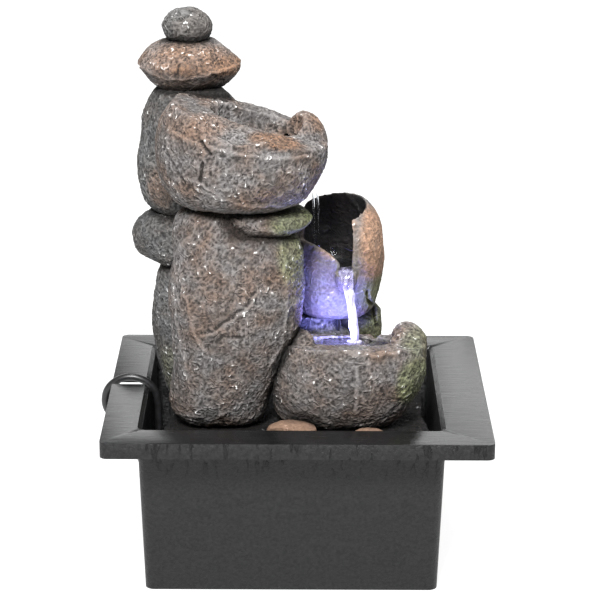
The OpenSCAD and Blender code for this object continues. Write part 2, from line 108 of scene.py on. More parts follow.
def coordinates(mesh):
    """The vertices of a mesh as an array, in metres."""
    flat = np.empty(len(mesh.vertices) * 3)
    mesh.vertices.foreach_get("co", flat)
    return flat.reshape(-1, 3)


def normals(mesh):
    """The vertex normals of a mesh as an array."""
    flat = np.empty(len(mesh.vertices) * 3)
    mesh.vertices.foreach_get("normal", flat)
    return flat.reshape(-1, 3)


def edges(mesh):
    """The two vertices of each edge, as an array."""
    flat = np.empty(len(mesh.edges) * 2, dtype=np.int32)
    mesh.edges.foreach_get("vertices", flat)
    return flat.reshape(-1, 2)


def set_coordinates(mesh, points):
    """Moves the vertices of a mesh."""
    mesh.vertices.foreach_set("co", points.ravel())
    mesh.update()


def neighbour_mean(values, pairs):
    """The mean of each vertex's neighbours."""
    total = np.zeros_like(values)
    count = np.zeros(len(values))
    for a, b in ((0, 1), (1, 0)):
        np.add.at(total, pairs[:, a], values[pairs[:, b]])
        np.add.at(count, pairs[:, a], 1)
    count = np.maximum(count, 1)
    return total / (count[:, None] if values.ndim == 2 else count)


def attribute(mesh, name, values):
    """Stores one number for each vertex, for a material to read."""
    layer = mesh.attributes.get(name) or mesh.attributes.new(name, "FLOAT", "POINT")
    layer.data.foreach_set("value", values.astype(np.float32))


def smoothstep(low, high, values):
    """0 below low, 1 above high, and smooth between."""
    t = np.clip((values - low) / (high - low), 0, 1)
    return t * t * (3 - 2 * t)


def lattice_noise(points, size_mm, seed):
    """Smooth noise from about -1 to 1 at points in metres, with lumps about size_mm across."""
    rng = np.random.default_rng(seed)
    shuffled = np.tile(rng.permutation(256), 2)
    slopes = rng.normal(size=(256, 3))
    slopes /= np.linalg.norm(slopes, axis=1)[:, None]
    q = points / (size_mm * MM)
    cell = np.floor(q).astype(np.int64)
    f = q - cell
    w = f**3 * (f * (f * 6 - 15) + 10)
    total = np.zeros(len(points))
    for corner in np.ndindex(2, 2, 2):
        i = (cell + corner) & 255
        h = shuffled[shuffled[shuffled[i[:, 0]] + i[:, 1]] + i[:, 2]]
        weight = np.prod(np.where(corner, w, 1 - w), axis=1)
        total += weight * ((f - corner) * slopes[h]).sum(axis=1)
    return total * 1.7


def crests(points, size_mm, seed, narrow):
    """Noise whose crests, near 1, run between round hollows, near 0; narrow thins the crests."""
    return np.clip(1 - narrow * np.abs(lattice_noise(points, size_mm, seed)), 0, 1)


def blob(points, centre, radii):
    """1 at a centre, falling smoothly to 0 over three radii, all in millimetres."""
    d = np.linalg.norm((points / MM - centre) / radii, axis=1)
    return 1 - smoothstep(0.55, 1.0, d)


def line_distance(points, line):
    """How far points are, in millimetres, from a line of [x, z] corners seen from the front."""
    flat = points[:, [0, 2]] / MM
    nearest = np.full(len(points), 1e9)
    for a, b in zip(line, line[1:]):
        a, b = np.array(a, float), np.array(b, float)
        t = np.clip(((flat - a) @ (b - a)) / ((b - a) @ (b - a)), 0, 1)
        nearest = np.minimum(nearest, np.linalg.norm(flat - a - t[:, None] * (b - a), axis=1))
    return nearest


# ---- Materials ----


def node(tree, kind, inputs=None, **settings):
    """Adds a node; inputs maps a socket to a value or to the socket that feeds it."""
    made = tree.nodes.new(kind)
    for name, value in settings.items():
        setattr(made, name, value)
    for name, value in (inputs or {}).items():
        if isinstance(value, bpy.types.NodeSocket):
            tree.links.new(value, made.inputs[name])
        else:
            made.inputs[name].default_value = value
    return made


def new_material(name):
    """An empty material and its node tree."""
    made = bpy.data.materials.new(name)
    made.use_nodes = True
    made.node_tree.nodes.clear()
    return made, made.node_tree


def surface(tree, inputs):
    """Ends a tree in one Principled surface."""
    shader = node(tree, "ShaderNodeBsdfPrincipled", inputs)
    node(tree, "ShaderNodeOutputMaterial", {"Surface": shader.outputs["BSDF"]})
    return shader


def place(tree, scale=(1, 1, 1), turn=(0, 0, 0)):
    """Object coordinates, scaled and turned."""
    coords = node(tree, "ShaderNodeTexCoord")
    inputs = {"Vector": coords.outputs["Object"], "Scale": scale, "Rotation": turn}
    return node(tree, "ShaderNodeMapping", inputs).outputs["Vector"]


def speckle(tree, where, size_mm, detail=3.0, rough=0.55, kind="FBM", curl=0.0):
    """Noise whose lumps are about size_mm across; curl bends them into one another."""
    made = node(tree, "ShaderNodeTexNoise", {"Vector": where}, noise_type=kind, normalize=True)
    made.inputs["Scale"].default_value = 1 / (size_mm * MM)
    made.inputs["Detail"].default_value = detail
    made.inputs["Roughness"].default_value = rough
    made.inputs["Distortion"].default_value = curl
    return made.outputs["Fac"]


def ramp(tree, value, stops):
    """A colour ramp through [position, colour] stops."""
    made = node(tree, "ShaderNodeValToRGB", {"Fac": value})
    elements = made.color_ramp.elements
    elements[0].position, elements[0].color = stops[0]
    elements[1].position, elements[1].color = stops[-1]
    for position, colour in stops[1:-1]:
        elements.new(position).color = colour
    return made.outputs["Color"]


def mix(tree, amount, low, high, blend="MIX"):
    """Mixes two colours."""
    made = node(tree, "ShaderNodeMix", data_type="RGBA", blend_type=blend)
    for slot_index, value in ((0, amount), (6, low), (7, high)):
        if isinstance(value, bpy.types.NodeSocket):
            tree.links.new(value, made.inputs[slot_index])
        else:
            made.inputs[slot_index].default_value = value
    return made.outputs[2]


def calc(tree, operation, a, b=0.0, clamp=False):
    """One arithmetic step on two numbers."""
    made = node(tree, "ShaderNodeMath", operation=operation, use_clamp=clamp)
    for index, value in enumerate((a, b)):
        if isinstance(value, bpy.types.NodeSocket):
            tree.links.new(value, made.inputs[index])
        else:
            made.inputs[index].default_value = value
    return made.outputs[0]


def painted(tree, name):
    """A number stored on the vertices."""
    return node(tree, "ShaderNodeAttribute", attribute_name=name).outputs["Fac"]


def bump(tree, height, depth_mm, strength=1.0, base=None):
    """A bump of a real depth."""
    made = node(tree, "ShaderNodeBump", {"Height": height, "Distance": depth_mm * MM, "Strength": strength})
    if base is not None:
        tree.links.new(base, made.inputs["Normal"])
    return made.outputs["Normal"]


def cast_stone(name, hollow, body, wash, ridge, wrinkled=1.0, ochre_tones=("#43342a", "#9a7860")):
    """Cast polyresin stone: a dark wash lies in the hollows, a warm wash drifts over the body colour, and the
    thin curly wrinkles are dry-brushed pale, so that the eye sees weathered rock. Ochre and moss are painted
    by zone. Painted shade darkens the stone towards near-black near its joints with other stones, and the wet
    zone both darkens and glosses wet stone and paints the shade inside a bowl's hollow."""
    made, tree = new_material(name)
    where = place(tree)
    grain = speckle(tree, where, 1.5, 5, 0.65)
    fine = speckle(tree, where, 0.8, 2, 0.6)
    drift = speckle(tree, where, 15, 3, 0.5)
    patches = speckle(tree, place(tree, (1, 1, 1), (0.7, 0.3, 0)), 17, 3, 0.6)
    wrinkle = speckle(tree, where, 3.6, 3, 0.5, "RIDGED_MULTIFRACTAL", 1.1)
    carved = calc(tree, "MULTIPLY", painted(tree, "ridge"), 0.4)
    height = calc(tree, "ADD", calc(tree, "MULTIPLY", wrinkle, 0.6), carved)

    tone = mix(tree, ramp(tree, drift, [(0.4, BLACK), (0.66, WHITE)]), linear(body), linear(wash))
    for zone, spread, (low, high) in (("ochre", grain, ochre_tones), ("moss", drift, ("#4a4c37", "#8f956d"))):
        amount = calc(tree, "MULTIPLY", painted(tree, zone), calc(tree, "ADD", spread, 0.4), True)
        tone = mix(tree, amount, tone, mix(tree, grain, linear(low), linear(high)))

    sunk = calc(tree, "MULTIPLY", calc(tree, "SUBTRACT", grain, 0.5), 0.35)
    dark = ramp(tree, calc(tree, "ADD", height, sunk), [(0.08, (0.9, 0.9, 0.9, 1)), (0.36, BLACK)])
    tone = mix(tree, calc(tree, "MULTIPLY", dark, wrinkled), tone, linear(hollow))

    bristles = calc(tree, "MULTIPLY", calc(tree, "SUBTRACT", fine, 0.5), 0.3)
    pale = ramp(tree, calc(tree, "ADD", height, bristles), [(0.46, BLACK), (0.6, WHITE)])
    brushed = ramp(tree, patches, [(0.36, (0.35, 0.35, 0.35, 1)), (0.58, WHITE)])
    keep = calc(tree, "SUBTRACT", brushed, calc(tree, "MULTIPLY", painted(tree, "ochre"), 0.55), True)
    tone = mix(tree, calc(tree, "MULTIPLY", pale, keep), tone, linear(ridge))

    wet = painted(tree, "wet")
    # Painted shade: near-black near the joints with other stones, where shade falls
    tone = mix(tree, calc(tree, "MULTIPLY", painted(tree, "crevice"), 0.85), tone, linear("#12100f"))
    # Darkens to near-black and glosses where the stone is wet, and paints the shade inside a bowl's hollow
    # with the same near-black
    tone = mix(tree, calc(tree, "MULTIPLY", wet, 0.93), tone, linear("#0b0a0b"))
    relief = bump(tree, wrinkle, 1.7 * wrinkled, 1.0)
    relief = bump(tree, grain, 0.6 * wrinkled, 0.8, relief)
    relief = bump(tree, fine, 0.2, 0.6, relief)
    dry = calc(tree, "ADD", calc(tree, "MULTIPLY", fine, 0.15), 0.85)
    surface(tree, {
        "Base Color": tone,
        "Roughness": calc(tree, "SUBTRACT", dry, calc(tree, "MULTIPLY", wet, 0.25), True),
        "Normal": relief,
        "IOR": 1.5,
        "Specular IOR Level": 0.15,
    })
    return made


# ---- Camera, floor and light ----

CAMERA_PITCH = 17.98
CAMERA_YAW = 0.01
CAMERA_ROLL = 0.23
CAMERA_PLACE = (0.9, -1234.0, 544.0)
CAMERA_LENS = 143.04


class FOUNTAIN_OT_stage(bpy.types.Operator):
    """Makes the camera, the pale floor and the soft studio light"""

    bl_idname = "fountain.stage"
    bl_label = "Stage"

    def execute(self, context):
        scene = context.scene
        lens = bpy.data.cameras.new("camera")
        lens.lens, lens.sensor_width, lens.clip_end = CAMERA_LENS, 36, 20
        camera = bpy.data.objects.new("camera", lens)
        camera.rotation_mode = "XYZ"
        camera.location = Vector(CAMERA_PLACE) * MM
        yaw = Matrix.Rotation(math.radians(-CAMERA_YAW), 4, "Z")
        pitch = Matrix.Rotation(math.radians(90 - CAMERA_PITCH), 4, "X")
        roll = Matrix.Rotation(math.radians(CAMERA_ROLL), 4, "Z")
        camera.rotation_euler = (yaw @ pitch @ roll).to_euler()
        scene.collection.objects.link(camera)
        scene.camera = camera
        scene.view_settings.view_transform = "Standard"

        bm = bmesh.new()
        bmesh.ops.create_grid(bm, x_segments=1, y_segments=1, size=4)
        floor = new_object("floor", mesh_from(bm, "floor"))
        paper, tree = new_material("white_paper_floor")
        surface(tree, {"Base Color": linear("#7a7a7a"), "Roughness": 0.9, "Specular IOR Level": 0.0,
                       "Emission Color": WHITE, "Emission Strength": 0.93})
        floor.data.materials.append(paper)

        world = bpy.data.worlds.new("studio")
        world.use_nodes = True
        sky = world.node_tree.nodes["Background"]
        sky.inputs["Color"].default_value = WHITE
        sky.inputs["Strength"].default_value = 0.4
        scene.world = world
        for name, at, size, power, aim in (
            ("overhead_softbox", (0.1, 0.0, 1.4), (0.5, 0.5), 20, (0, 0, 0.12)),
            ("key_softbox", (-0.2, -1.1, 1.15), (0.3, 0.3), 44, (0, 0, 0.15)),
            ("back_softbox", (0.0, 1.7, 0.72), (2.6, 0.8), 10.5, (0, 0, 0.09)),
        ):
            light = bpy.data.lights.new(name, "AREA")
            light.shape, light.size, light.size_y, light.energy = "RECTANGLE", size[0], size[1], power
            lamp = bpy.data.objects.new(name, light)
            lamp.location = at
            lamp.rotation_euler = (Vector(aim) - Vector(at)).to_track_quat("-Z", "Y").to_euler()
            scene.collection.objects.link(lamp)
        return {"FINISHED"}


# ---- Mains lead ----

CORD_D = 4.2
COIL_TURNS = 7
COIL_CENTRE = (-22, 127)
COIL_R = 23
COIL_Z = 0.9
PLUG_TAIL = (4, 6.5)
# The lead's route from the gland to the coil, in millimetres: round the basin's floor, up the left wall,
# through the slot and down under the rim
CORD_ROUTE = [
    (-42, 36, 20), (-42, 46, 20), (-45, 54, 19), (-52, 59.5, 17), (-62, 59.5, 15), (-71, 54, 14),
    (-76, 45, 14), (-77, 34, 15), (-77, 22, 19), (-77, 12, 29), (-77.2, 8.5, 42), (-77.3, 8, 55),
    (-77.3, 8, 68), (-77.4, 8, 80), (-79.3, 8, 88), (-84.5, 8.2, 93.4), (-92, 8.5, 95.6),
    (-99.5, 9.2, 93.7), (-105, 10.5, 88.4), (-107.2, 12.5, 81), (-106, 16, 73), (-101.5, 22, 64),
    (-96.5, 30, 54), (-93, 40, 43), (-91, 51, 31.5), (-89.5, 62, 20.5), (-86, 72.5, 11.5),
    (-79, 83, 5.5), (-69, 92, 3.2), (-57, 98, 3), (-45, 101.8, 3), (-33, 103.6, 3),
]


def smooth_line(points, steps):
    """A smooth line through points, with a number of steps from each to the next."""
    line = []
    last = len(points) - 1
    for i in range(last):
        a, b, c, d = (np.array(points[min(max(k, 0), last)], float) for k in (i - 1, i, i + 1, i + 2))
        for t in np.arange(steps) / steps:
            bend = (2 * a - 5 * b + 4 * c - d) * t**2 + (3 * b - a - 3 * c + d) * t**3
            line.append(0.5 * (2 * b + (c - a) * t + bend))
    return line + [np.array(points[-1], float)]


def coil_line():
    """Seven turns in two columns: up the inner one, then down the outer one, which stops a level above the
    floor so that the stretch that comes in passes below."""
    steps = 40
    line = []
    low = COIL_Z + CORD_D / 2
    inner = (COIL_TURNS + 1) / 2
    for k in range(COIL_TURNS * steps):
        turn = k / steps
        z = low + CORD_D * (turn if turn < inner else COIL_TURNS + 1 - turn)
        r = COIL_R + CORD_D * float(smoothstep(inner - 0.2, inner + 0.2, turn))
        a = 2 * math.pi * turn - math.pi / 2
        line.append(np.array([COIL_CENTRE[0] + r * math.cos(a), COIL_CENTRE[1] + r * math.sin(a), z]))
    return line


def lead_line():
    """The whole centreline of the lead in millimetres: route, coil, and the tail into the plug."""
    coil_start = (COIL_CENTRE[0], COIL_CENTRE[1] - COIL_R, COIL_Z + CORD_D / 2)
    line = smooth_line(CORD_ROUTE + [coil_start], 6)[:-1] + coil_line()
    z, y = COIL_Z + CORD_D * 1.5, COIL_CENTRE[1] - COIL_R - CORD_D
    for t in np.linspace(0, 1, 9):
        x = COIL_CENTRE[0] + t * (PLUG_TAIL[0] + 2 - COIL_CENTRE[0])
        line.append(np.array([x, y, z + (PLUG_TAIL[1] - z) * (3 * t * t - 2 * t**3)]))
    return line


def tube(name, line, radius):
    """A round tube along a line of points in metres."""
    curve = bpy.data.curves.new(name, "CURVE")
    curve.dimensions = "3D"
    spline = curve.splines.new("POLY")
    spline.points.add(len(line) - 1)
    for point, at in zip(spline.points, line):
        point.co = (*at, 1)
    curve.bevel_depth = radius
    curve.bevel_resolution = 5
    curve.use_fill_caps = True
    return new_object(name, curve)


class FOUNTAIN_OT_lead(bpy.types.Operator):
    """Makes the mains lead with its coil and its tail into the plug"""

    bl_idname = "fountain.lead"
    bl_label = "Mains lead"

    def execute(self, context):
        line = [p * MM for p in lead_line()]
        lead = tube("mains_lead", line, CORD_D / 2 * MM)
        finished(lead, "basin", finish_named("pvc_sheath"), smooth=False)
        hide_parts("cord_run", "cord_coil", "cord_tail")
        return {"FINISHED"}


# ---- Stones ----

# What is particular to each stone, in millimetres: how deeply it is crinkled, how many chisel cuts flatten
# it, where its wash turns to ochre or moss, and where it is darkened to near-black and glossed as wet stone
# and as painted shade, as [centre, radii, weight], the upright axis of a well whose inward-facing walls are
# painted dark all round as its shade, how strongly painted shade darkens its joints with other stones, how
# far its skin is set in, and its pale folds, creases and dark cracks as lines of [x, z] corners on its front
STONES = {
    "column_stone": {
        "finish": "grey_stone", "seed": 11, "crinkle": 0.8, "cuts": 7,
        "moss": [((-60, 5, 100), (26, 20, 22), 0.3)],
    },
    "ledge_stone": {"finish": "grey_stone", "seed": 12, "crinkle": 0.8, "cuts": 9},
    "shoulder_stone": {
        "finish": "grey_stone", "seed": 13, "crinkle": 0.85, "cuts": 7,
        "ochre": [((-74, 0, 206), (10, 14, 14), 0.5)],
        "cracks": [[(-40, 262), (-37, 255), (-36, 250)]],
    },
    "cap_stone": {
        "finish": "brown_stone", "seed": 14, "crinkle": 0.5, "cuts": 8,
        "ochre": [((-55, 4, 275), (34, 26, 10), 0.75), ((-36, 6, 272), (16, 20, 8), 0.9)],
        "folds": [[(-86, 271.5), (-73, 268), (-62, 266.5), (-49, 268.5), (-34, 271.5)]],
        "creases": [[(-63.5, 275), (-63.8, 267)], [(-46, 269), (-40, 263)]],
    },
    "crown_stone": {"finish": "grey_stone", "seed": 15, "crinkle": 0.8, "cuts": 5},
    "front_boulder": {
        "finish": "brown_stone", "seed": 21, "crinkle": 0.75, "cuts": 9,
        "moss": [((-2, -30, 178), (14, 24, 20), 0.7)],
        "ochre": [((-20, -50, 170), (16, 16, 12), 0.25)],
        "folds": [
            [(-50, 139), (-40.8, 143), (-30, 153), (-19.3, 164)],
            [(-62, 172), (-54, 140), (-49, 131)],
            [(-9, 186), (-6, 168), (-6, 148), (-9, 132), (-16, 118)],
            [(-57, 190), (-64, 180), (-66, 163), (-63, 138), (-58, 112)],
        ],
        "creases": [
            [(-49, 133), (-38, 140), (-22, 141)],
            [(-50, 141), (-40.8, 145), (-30, 155), (-19.3, 166)],
        ],
    },
    "slab_stone": {
        "finish": "brown_stone", "seed": 22, "crinkle": 0.55, "cuts": 6,
        "moss": [((0, -30, 197), (22, 24, 9), 1.0)],
    },
    "upper_bowl": {
        "finish": "brown_stone", "seed": 23, "crinkle": 0.85, "cuts": 8,
        "ochre": [
            ((-8, -40, 243), (22, 16, 6), 0.95),
            ((-52, -42, 250), (18, 18, 9), 0.35),
            ((4, -10, 245), (14, 20, 6), 0.5),
            ((-18, 6, 258), (26, 8, 6), 0.6),
            ((-24, -50, 214), (14, 10, 12), 0.3),
        ],
        "wet": [((-10, -12, 232), (20, 13, 6), 0.9), ((6, 14, 230), (7, 12, 5), 0.8)],
        "folds": [
            [(-67, 248), (-56, 244), (-45, 242), (-30, 238.5), (-9, 235.5), (6, 234.5)],
            [(-58, 225), (-47.5, 221), (-34, 213), (-25, 210), (-7, 209)],
        ],
        "creases": [[(-30, 232), (-24, 218), (-19.5, 212)], [(-68, 236), (-60, 224), (-52, 216)]],
        "cracks": [[(-49.3, 233.5), (-50.6, 224)], [(-49.6, 244.5), (-47.4, 241.3), (-44.8, 238.4)]],
    },
    "back_column": {
        "finish": "brown_stone", "seed": 31, "crinkle": 0.45, "cuts": 5,
        "moss": [((34, 30, 118), (24, 34, 34), 0.75)],
        "cracks": [[(38.5, 143), (41.1, 136), (42.4, 130), (44.4, 120)]],
    },
    "inner_stone": {"finish": "grey_stone", "seed": 32, "crinkle": 0.7, "cuts": 5, "joints": 0.1},
    "middle_bowl": {
        "finish": "ochre_stone", "seed": 33, "crinkle": 0.45, "cuts": 6, "joints": 0.6,
        "ochre": [
            ((46, 12, 174), (17, 36, 30), 1.0),
            ((10, 4, 186), (30, 14, 12), 0.8),
            ((20, 2, 174), (12, 8, 10), 0.7),
        ],
        "moss": [((44, 12, 144), (16, 28, 12), 0.7)],
        # Here the wet zone is painted shade inside the hollow as well as wet stone
        "wet": [((20, 26, 168), (19, 27, 27), 1.0)], "well": (20, 26),
        "cracks": [[(38.5, 146), (39, 141), (41, 136)]],
        "folds": [[(26, 190), (34, 183), (38, 170)]],
    },
    "lower_bowl": {
        "finish": "brown_stone", "seed": 41, "crinkle": 0.75, "cuts": 9,
        "moss": [((62, -40, 112), (14, 22, 18), 0.95), ((64, -30, 128), (12, 20, 12), 0.5)],
        "wet": [((27, -21, 122), (27, 14, 9), 0.6)],
        "folds": [[(2, 138), (9.3, 139), (26, 131.5), (39, 129), (54, 130)], [(31, 122), (31.3, 96)]],
        "creases": [[(43, 113), (49, 104), (56, 102.5)], [(1, 140), (-4, 130), (-10, 117), (-16, 104)]],
    },
    "pebble_left": {
        "finish": "tan_pebble", "seed": 51, "crinkle": 0.25, "cuts": 5, "inset": 0.5, "body": "left_pebble",
    },
    "pebble_right": {
        "finish": "tan_pebble", "seed": 52, "crinkle": 0.2, "cuts": 5, "inset": 0.5, "body": "right_pebble",
    },
    "rock_base": {"finish": "ground_stone", "seed": 61, "crinkle": 0.9, "cuts": 0},
}
# How far the painted shade at a stone's joints with other stones reaches
JOINT_REACH = 7 * MM
# No stone comes nearer than this to the well's left wall, below the rim
WALL_SIDE, WALL_TOP = -81.1 * MM, 95 * MM


def closeness(name, points):
    """How close each point comes to another stone: 1 where they touch, 0 out of a joint's reach."""
    corners, faces = [], []
    for other in STONES:
        if other != name:
            mesh = NODES[other].data
            faces += [[len(corners) + i for i in face.vertices] for face in mesh.polygons]
            corners += [v.co.copy() for v in mesh.vertices]
    tree = BVHTree.FromPolygons(corners, faces)
    reach = [tree.find_nearest(point, JOINT_REACH)[3] for point in points]
    gap = np.array([JOINT_REACH if one is None else one for one in reach])
    return smoothstep(JOINT_REACH, 1 * MM, gap)


def even_copy(name, grain_mm):
    """A copy of a plain node with points spread evenly over its surface."""
    bm = bmesh.new()
    bm.from_mesh(NODES[name].data)
    bmesh.ops.remove_doubles(bm, verts=bm.verts, dist=1e-5)
    mesh = bpy.data.meshes.new(name + "_carved")
    bm.to_mesh(mesh)
    bm.free()
    stone = new_object(name + "_carved", mesh)
    remesh = stone.modifiers.new("grain", "REMESH")
    remesh.mode, remesh.voxel_size, remesh.adaptivity = "VOXEL", grain_mm * MM, 0
    bpy.context.view_layer.update()
    evaluated = stone.evaluated_get(bpy.context.evaluated_depsgraph_get())
    stone.data = bpy.data.meshes.new_from_object(evaluated)
    stone.modifiers.clear()
    stone.data.name = stone.name
    return stone


def chiselled(points, cuts, seed):
    """The points of a stone after a few shallow flat cuts."""
    middle = (points.min(0) + points.max(0)) / 2
    rng = np.random.default_rng(seed)
    for _ in range(cuts):
        way = rng.normal(size=3) * (1, 1, 0.8)
        way /= np.linalg.norm(way)
        reach = (points - middle) @ way
        limit = reach.max() - rng.uniform(0.8, 2.4) * MM
        points -= (np.clip(reach - limit, 0, None) * 0.75)[:, None] * way
    return points


def wandering(points, size_mm, seed, far_mm):
    """The points pushed about by smooth noise, so that what is drawn at them looks hand-made."""
    noises = [lattice_noise(points, size_mm, seed + k) for k in range(3)]
    return points + np.stack(noises, axis=1) * far_mm * MM


def crinkled(points, seed):
    """How high the crinkles stand at each point: curly crests of three sizes over a little rubble."""
    warped = wandering(points, 7, seed, 1.6)
    calm = smoothstep(-0.5, 0.45, lattice_noise(points, 17, seed + 4)) * 0.55 + 0.45
    coarse = crests(warped, 9.5, seed + 5, 3.4)
    middling = crests(warped, 4.8, seed + 6, 3.0)
    small = crests(warped + points * 0.3, 2.7, seed + 7, 2.4)
    rubble = lattice_noise(points, 3.3, seed + 12) * 0.5 + lattice_noise(points, 1.9, seed + 13) * 0.35
    return np.clip(0.32 * coarse + 0.46 * middling + 0.42 * small, 0, 1.1) * calm + 0.25 * rubble


def drawn(points, lines, width_mm, front):
    """1 along lines on the front of a stone, fading over a width in millimetres."""
    mark = np.zeros(len(points))
    for line in lines:
        mark = np.maximum(mark, np.exp(-((line_distance(points, line) / width_mm) ** 2)) * front)
    return mark


def paint_zones(mesh, points, out, facts, seed):
    """Stores where a stone is ochre or mossy, and where it is darkened as wet stone and as painted shade
    inside a bowl's hollow.
    """
    patch = lattice_noise(points, 9, seed) * 0.35
    for zone in ("ochre", "moss", "wet"):
        amount = np.zeros(len(points))
        for centre, radii, weight in facts.get(zone, []):
            inside = blob(points, np.array(centre), np.array(radii))
            amount = np.maximum(amount, inside * weight)
        # Painted shade: every wall facing in towards the well's upright axis is darkened all round, as the
        # shade inside the hollow
        if zone == "wet" and "well" in facts:
            inward = np.array([*facts["well"], 0.0]) * MM - points
            inward[:, 2] = 0
            inward /= np.linalg.norm(inward, axis=1)[:, None] + 1e-9
            amount = np.maximum(amount, smoothstep(0.1, 0.45, np.einsum("ij,ij->i", out, inward)))
        if zone != "wet":
            amount = amount * (1 + patch)
        attribute(mesh, zone, np.clip(amount, 0, 1))


def carved_stone(name, facts, grain_mm):
    """A stone carved from its plain solid: chisel cuts, lumps, folds, creases and crinkles."""
    stone = even_copy(name, grain_mm)
    mesh = stone.data
    points, pairs = coordinates(mesh), edges(mesh)
    points = points * 0.5 + neighbour_mean(points, pairs) * 0.5
    low = points[:, 2].min()
    points = chiselled(points, facts["cuts"], facts["seed"])
    set_coordinates(mesh, points)
    out = normals(mesh)
    for _ in range(6):
        out = neighbour_mean(out, pairs)
    out /= np.linalg.norm(out, axis=1)[:, None] + 1e-9

    seed = facts["seed"] * 100
    fine = crinkled(points, seed)
    front = smoothstep(0.25, -0.1, out[:, 1])
    unsteady = wandering(points, 6, seed + 8, 1.3)
    fold = drawn(unsteady, facts.get("folds", []), 1.1, front)
    crease = drawn(unsteady, facts.get("creases", []), 1.0, front)
    crack = drawn(points, facts.get("cracks", []), 0.7, front)
    lumps = lattice_noise(points, 24, seed + 1) * 1.0 + lattice_noise(points, 12, seed + 2) * 0.55
    push = lumps * 0.6 - facts.get("inset", 0.2) + fine * 1.15 * facts["crinkle"] + fold * 0.7 - crease * 0.5
    footing = smoothstep(low, low + 2 * MM, points[:, 2]) if name == "rock_base" else 1
    points += out * ((push - crack * 2.4) * MM * footing)[:, None]
    clear_of_wall = np.maximum(points[:, 0], WALL_SIDE)
    points[:, 0] = np.where(points[:, 2] < WALL_TOP, clear_of_wall, points[:, 0])
    set_coordinates(mesh, points)

    smoothed = neighbour_mean(neighbour_mean(points, pairs), pairs)
    raised = np.einsum("ij,ij->i", points - smoothed, out)
    raised = np.clip(raised / (np.percentile(np.abs(raised), 92) + 1e-9), -1, 1)
    ridge = 0.34 + 0.4 * fine + 0.22 * raised + fold * 0.25 - crease * 0.18 - crack * 1.2
    attribute(mesh, "ridge", np.clip(ridge, 0, 1))
    # Painted shade: nearness to other stones, stored for the material to darken as joint shade
    attribute(mesh, "crevice", closeness(name, points) * facts.get("joints", 1.0))
    paint_zones(mesh, points, out, facts, seed + 3)
    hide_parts(name)
    finished(stone, facts.get("body", "rockery"), finish_named(facts["finish"]))


class FOUNTAIN_OT_stones(bpy.types.Operator):
    """Carves the stones, the bowls, the ground and the pebbles"""

    bl_idname = "fountain.stones"
    bl_label = "Stones and bowls"

    def execute(self, context):
        grain = context.scene.fountain_stone.grain / MM
        for name, facts in STONES.items():
            carved_stone(name, facts, grain * (1.5 if name == "rock_base" else 1))
        return {"FINISHED"}


# ---- Basin ----


def softened(node_name, width_mm, finish, angle=30, segments=2):
    """A copy of a plain node with its loose triangles joined and its edges rounded, in its finish."""
    bm = bmesh.new()
    bm.from_mesh(NODES[node_name].data)
    bmesh.ops.remove_doubles(bm, verts=bm.verts, dist=1e-5)
    bmesh.ops.dissolve_limit(bm, angle_limit=math.radians(2), verts=bm.verts, edges=bm.edges)
    mesh = bpy.data.meshes.new(node_name + "_moulded")
    bm.to_mesh(mesh)
    bm.free()
    piece = new_object(node_name + "_moulded", mesh)
    round_off = piece.modifiers.new("edges", "BEVEL")
    round_off.width, round_off.segments = width_mm * MM, segments
    round_off.limit_method, round_off.angle_limit = "ANGLE", math.radians(angle)
    round_off.harden_normals = True
    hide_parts(node_name)
    body = NODES[node_name].parent.name.split(":")[-1]
    finished(piece, body, finish_named(finish), smooth=False)
    mesh.shade_smooth()
    return piece


class FOUNTAIN_OT_basin(bpy.types.Operator):
    """Rounds the moulded edges of the basin"""

    bl_idname = "fountain.basin"
    bl_label = "Basin"

    def execute(self, context):
        softened("basin", context.scene.fountain_basin.edge / MM, "streaked_pp", 35, 3)
        return {"FINISHED"}


# ---- Pump, lamps and hose ----


class FOUNTAIN_OT_hardware(bpy.types.Operator):
    """Finishes the pump, the hose, the lamps and their leads"""

    bl_idname = "fountain.hardware"
    bl_label = "Pump and lamps"

    def execute(self, context):
        pump = ("pump_housing", "pump_chamber", "intake_cover", "flow_slider", "lamp_plug", "lamp_socket")
        for name in pump:
            softened(name, 0.4, "moulded_abs")
        for name in ("hose_outlet", "lamp_middle", "lamp_lower"):
            softened(name, 0.25, "moulded_abs")
        softened("plug_body", 0.8, "pvc_plug", 25, 3)
        for name, finish in (
            ("lamp_leads", "pvc_sheath"), ("cord_gland", "pvc_sheath"), ("cord_tie", "pvc_sheath"),
            ("water_hose", "clear_vinyl"), ("rotor_shaft", "ground_steel"), ("plug_pins", "nickel_plate"),
            ("pump_rotor", "ferrite"), ("filter_sponge", "foam"), ("suction_cups", "soft_rubber"),
            ("lamp_middle_lens", "lamp_glow"), ("lamp_lower_lens", "lamp_glow"),
        ):
            NODES[name].data.materials.clear()
            NODES[name].data.materials.append(finish_named(finish))
        return {"FINISHED"}


# ---- Water and lamp light ----

# Each pool's middle, half width and half depth, and level, in millimetres
POOLS = {
    "upper_pool": ((-21, -15), (20, 12.5), 236.2),
    "middle_pool": ((20, 26), (16.5, 22), 159.5),
    "lower_pool": ((26.6, -21), (23.4, 13.6), 124.5),
}


